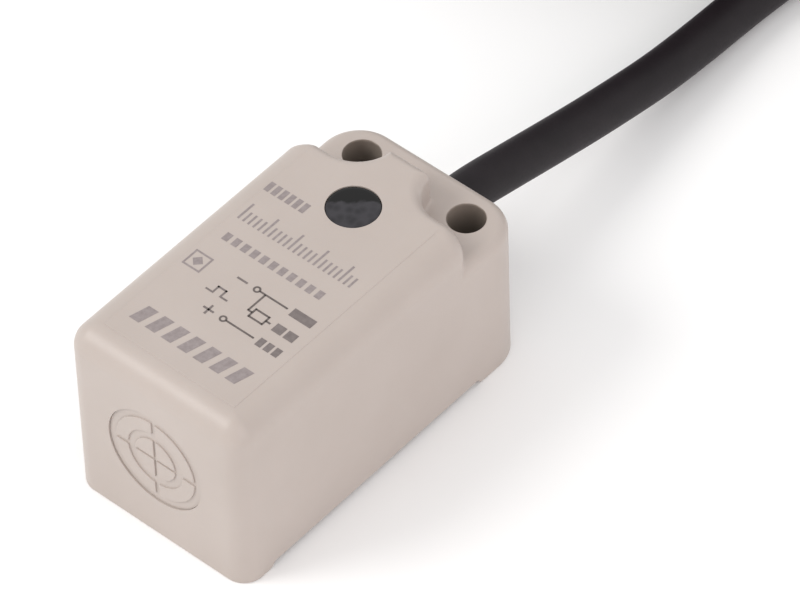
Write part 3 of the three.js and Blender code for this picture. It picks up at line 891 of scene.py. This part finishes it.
def make_seal():
    """Rubber grommet with a rounded lip, tight on the lead."""
    low, high = BORE_START + 0.3, REAR - 0.15
    hollow = CABLE_RADIUS + 0.03
    outer_edge, inner_edge = 0.2, 0.25
    profile = [(SEAL_RADIUS, low), (SEAL_RADIUS, high - outer_edge)]
    profile += arc(SEAL_RADIUS - outer_edge, high - outer_edge, outer_edge, range(15, 91, 15))
    profile += arc(hollow + inner_edge, high - inner_edge, inner_edge, range(90, 181, 15))
    profile += [(hollow, low)]
    place = lambda a, b, h: (-a, h, CABLE_HEIGHT + b)
    vertices, faces = turned(profile, place, 64, True)
    piece = mesh_piece("cable_grommet", vertices, faces, MATERIALS["seal_rubber"])
    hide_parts("cable_seal")


# ---------------------------------------------------------------- printed marks

def bar(x0, x1, y0, y1, lean=0.0):
    return [(x0, y0), (x1, y0), (x1 + lean, y1), (x0 + lean, y1)]


def stroke(x0, y0, x1, y1, width):
    along = Vector((x1 - x0, y1 - y0)).normalized()
    side = Vector((-along.y, along.x)) * width / 2
    a, b = Vector((x0, y0)), Vector((x1, y1))
    return [tuple(a + side), tuple(a - side), tuple(b - side), tuple(b + side)]


def print_piece(name, shapes, rings=(), material="ink"):
    """Thin closed prisms of ink. A shape is an outline; a ring is (x, y, radius, width)."""
    low, high = CASE_TOP, HEIGHT
    vertices, faces = [], []
    for outline in shapes:
        turn = sum(a[0] * b[1] - b[0] * a[1] for a, b in zip(outline, outline[1:] + outline[:1]))
        outline = outline if turn > 0 else outline[::-1]
        n, base = len(outline), len(vertices)
        vertices += [(x, y, low) for x, y in outline] + [(x, y, high) for x, y in outline]
        faces.append([base + i for i in range(n)][::-1])
        faces.append([base + n + i for i in range(n)])
        faces += [[base + i, base + (i + 1) % n, base + n + (i + 1) % n, base + n + i] for i in range(n)]
    for x, y, radius, width in rings:
        profile = [(radius - width / 2, low), (radius + width / 2, low), (radius + width / 2, high),
                   (radius - width / 2, high)]
        more, fresh = turned(profile, lambda a, b, h: (x + a, y + b, h), 36, True)
        faces += [[v + len(vertices) for v in face] for face in fresh]
        vertices += more
    mesh_piece(name, vertices, faces, MATERIALS[material])


def make_print():
    """Generic printing: slanted bars, a wiring figure with its legends, a symbol, dashes, a scale, blocks."""
    thin = 0.16
    plus_row, pulse_row, minus_row = -8.0, -6.2, -4.3
    left, right = 1.25, 2.55
    low, high = pulse_row - 0.42, pulse_row + 0.42
    band = [bar(-5.4 + 1.55 * i, -5.4 + 1.55 * i + 0.95, -12.2, -10.5, 0.45) for i in range(7)]
    print_piece("print_band", band)
    circuit = [
        stroke(0.28, plus_row, 3.0, plus_row, thin),
        stroke(0.28, minus_row, 3.0, minus_row, thin),
        stroke(0.85, pulse_row, 0.85, minus_row, thin),
        stroke(0.77, pulse_row, left, pulse_row, thin),
        stroke(right, pulse_row, 3.0, pulse_row, thin),
        stroke(left, low, right, low, thin),
        stroke(left, high, right, high, thin),
        stroke(left, low - thin / 2, left, high + thin / 2, thin),
        stroke(right, low - thin / 2, right, high + thin / 2, thin),
    ]
    terminals = [(0.02, row, 0.24, thin) for row in (plus_row, minus_row)]
    print_piece("print_circuit", circuit, terminals, "line_ink")
    legends = []
    for row, lengths in ((plus_row, (0.55, 0.55, 0.55)), (pulse_row, (0.9, 0.9)), (minus_row, (2.1,))):
        x = 3.4
        for length in lengths:
            legends.append(bar(x, x + length, row - 0.42, row + 0.42))
            x += length + 0.22
    for row in (plus_row, minus_row):
        legends.append(bar(-1.9, -0.9, row - 0.09, row + 0.09))
    legends.append(bar(-1.49, -1.31, plus_row - 0.5, plus_row + 0.5))
    legends += [
        bar(-3.0, -2.4, low, low + thin),
        bar(-2.4, -2.4 + thin, low, high),
        bar(-2.4, -1.5, high - thin, high),
        bar(-1.5 - thin, -1.5, low, high),
        bar(-1.5, -0.9, low, low + thin),
    ]
    print_piece("print_legends", legends, material="legend_ink")
    cx, cy, half = -5.2, -4.95, 0.85
    diamond = [(cx, cy - 0.5), (cx + 0.5, cy), (cx, cy + 0.5), (cx - 0.5, cy)]
    frame_lines = [
        bar(cx - half, cx + half, cy - half, cy - half + thin),
        bar(cx - half, cx + half, cy + half - thin, cy + half),
        bar(cx - half, cx - half + thin, cy - half + thin, cy + half - thin),
        bar(cx + half - thin, cx + half, cy - half + thin, cy + half - thin),
    ]
    print_piece("print_symbol", [diamond] + frame_lines)
    print_piece("print_dashes", [bar(-5.4 + 0.9 * i, -4.85 + 0.9 * i, -2.2, -1.4) for i in range(11)])
    scale = []
    for i in range(23):
        tall = 1.8 if i % 5 == 0 else 1.05
        scale.append(bar(-5.9 + 0.49 * i, -5.72 + 0.49 * i, 0.1, 0.1 + tall))
    print_piece("print_scale", scale)
    print_piece("print_blocks", [bar(-6.3 + 0.68 * i, -5.85 + 0.68 * i, 3.45, 4.45) for i in range(6)])


# ---------------------------------------------------------------- carried-over CAD parts

NODE_MATERIALS = {
    "ferrite_pot_core": "ferrite",
    "coil_bobbin": "nylon",
    "coil_winding": "copper_wire",
    "front_spacer": "foam",
    "coil_wire": "copper_wire",
    "circuit_board": "board",
    "oscillator_chip": "chip_body",
    "output_transistor": "chip_body",
    "surge_diode": "chip_body",
    "polarity_diode": "chip_body",
    "supply_capacitor": "tantalum",
    "indicator_led": "led",
    "chip_resistor": "chip_resistor",
    "chip_capacitor": "chip_ceramic",
    "inner_core_brown": "core_brown",
    "inner_core_black": "core_black",
    "inner_core_blue": "core_blue",
    "solder_joint": "tinned",
    "cable_clamp": "clamp_steel",
    "potting_resin": "resin",
}


def dress_nodes():
    for name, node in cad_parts.items():
        for start, key in NODE_MATERIALS.items():
            if name.startswith(start):
                for slot in node.material_slots:
                    slot.material = MATERIALS[key]


# ---------------------------------------------------------------- floor and light

def make_floor():
    n = Nodes("floor")
    cloud = n.noise(14, 3)
    n.set(
        Base_Color=n.ramp(cloud, (0.94, 0.94, 0.94), (0.955, 0.955, 0.955), 0.3, 0.7),
        Roughness=0.9,
        Specular_IOR_Level=0.1,
    )
    mesh = bpy.data.meshes.new("floor")
    reach = 3.0
    mesh.from_pydata([(-reach, -reach, 0), (reach, -reach, 0), (reach, reach, 0), (-reach, reach, 0)], [],
                     [(0, 1, 2, 3)])
    mesh.materials.append(n.material)
    link("floor", mesh, rides=False)


def area_light(name, place, aim, size, watts, colour=(1, 1, 1)):
    data = bpy.data.lights.new(name, "AREA")
    data.shape = "DISK"
    data.size = size
    data.energy = watts
    data.color = colour
    light = bpy.data.objects.new(name, data)
    place, aim = Vector(place), Vector(aim)
    turn = (place - aim).to_track_quat("Z", "Y").to_matrix().to_4x4()
    light.matrix_world = Matrix.Translation(place) @ turn
    bpy.context.scene.collection.objects.link(light)


def make_light():
    world = bpy.data.worlds.new("studio")
    world.use_nodes = True
    background = world.node_tree.nodes["Background"]
    background.inputs["Strength"].default_value = 0.93
    background.inputs["Color"].default_value = (1, 1, 1, 1)
    bpy.context.scene.world = world
    centre = (0.0, 0.0, 0.008)
    area_light("key", (-0.45, -0.5, 0.6), centre, 0.48, 3.5, (1.0, 0.985, 0.965))
    area_light("fill", (0.7, -0.15, 0.35), centre, 0.7, 1.55, (1.0, 0.90, 0.90))
    bpy.context.scene.view_settings.view_transform = "Standard"


make_camera()
MATERIALS = make_materials()
CABLE, CABLE_LENGTH = make_cable()
LEADS = make_flying_leads()
TIES = make_tie("coil_strap_near", "coil_tie_near", 214.9) + make_tie("coil_strap_far", "coil_tie_far", 100.3)
make_case()
make_target()
make_cover()
make_window()
make_seal()
make_print()
dress_nodes()
make_floor()
make_light()
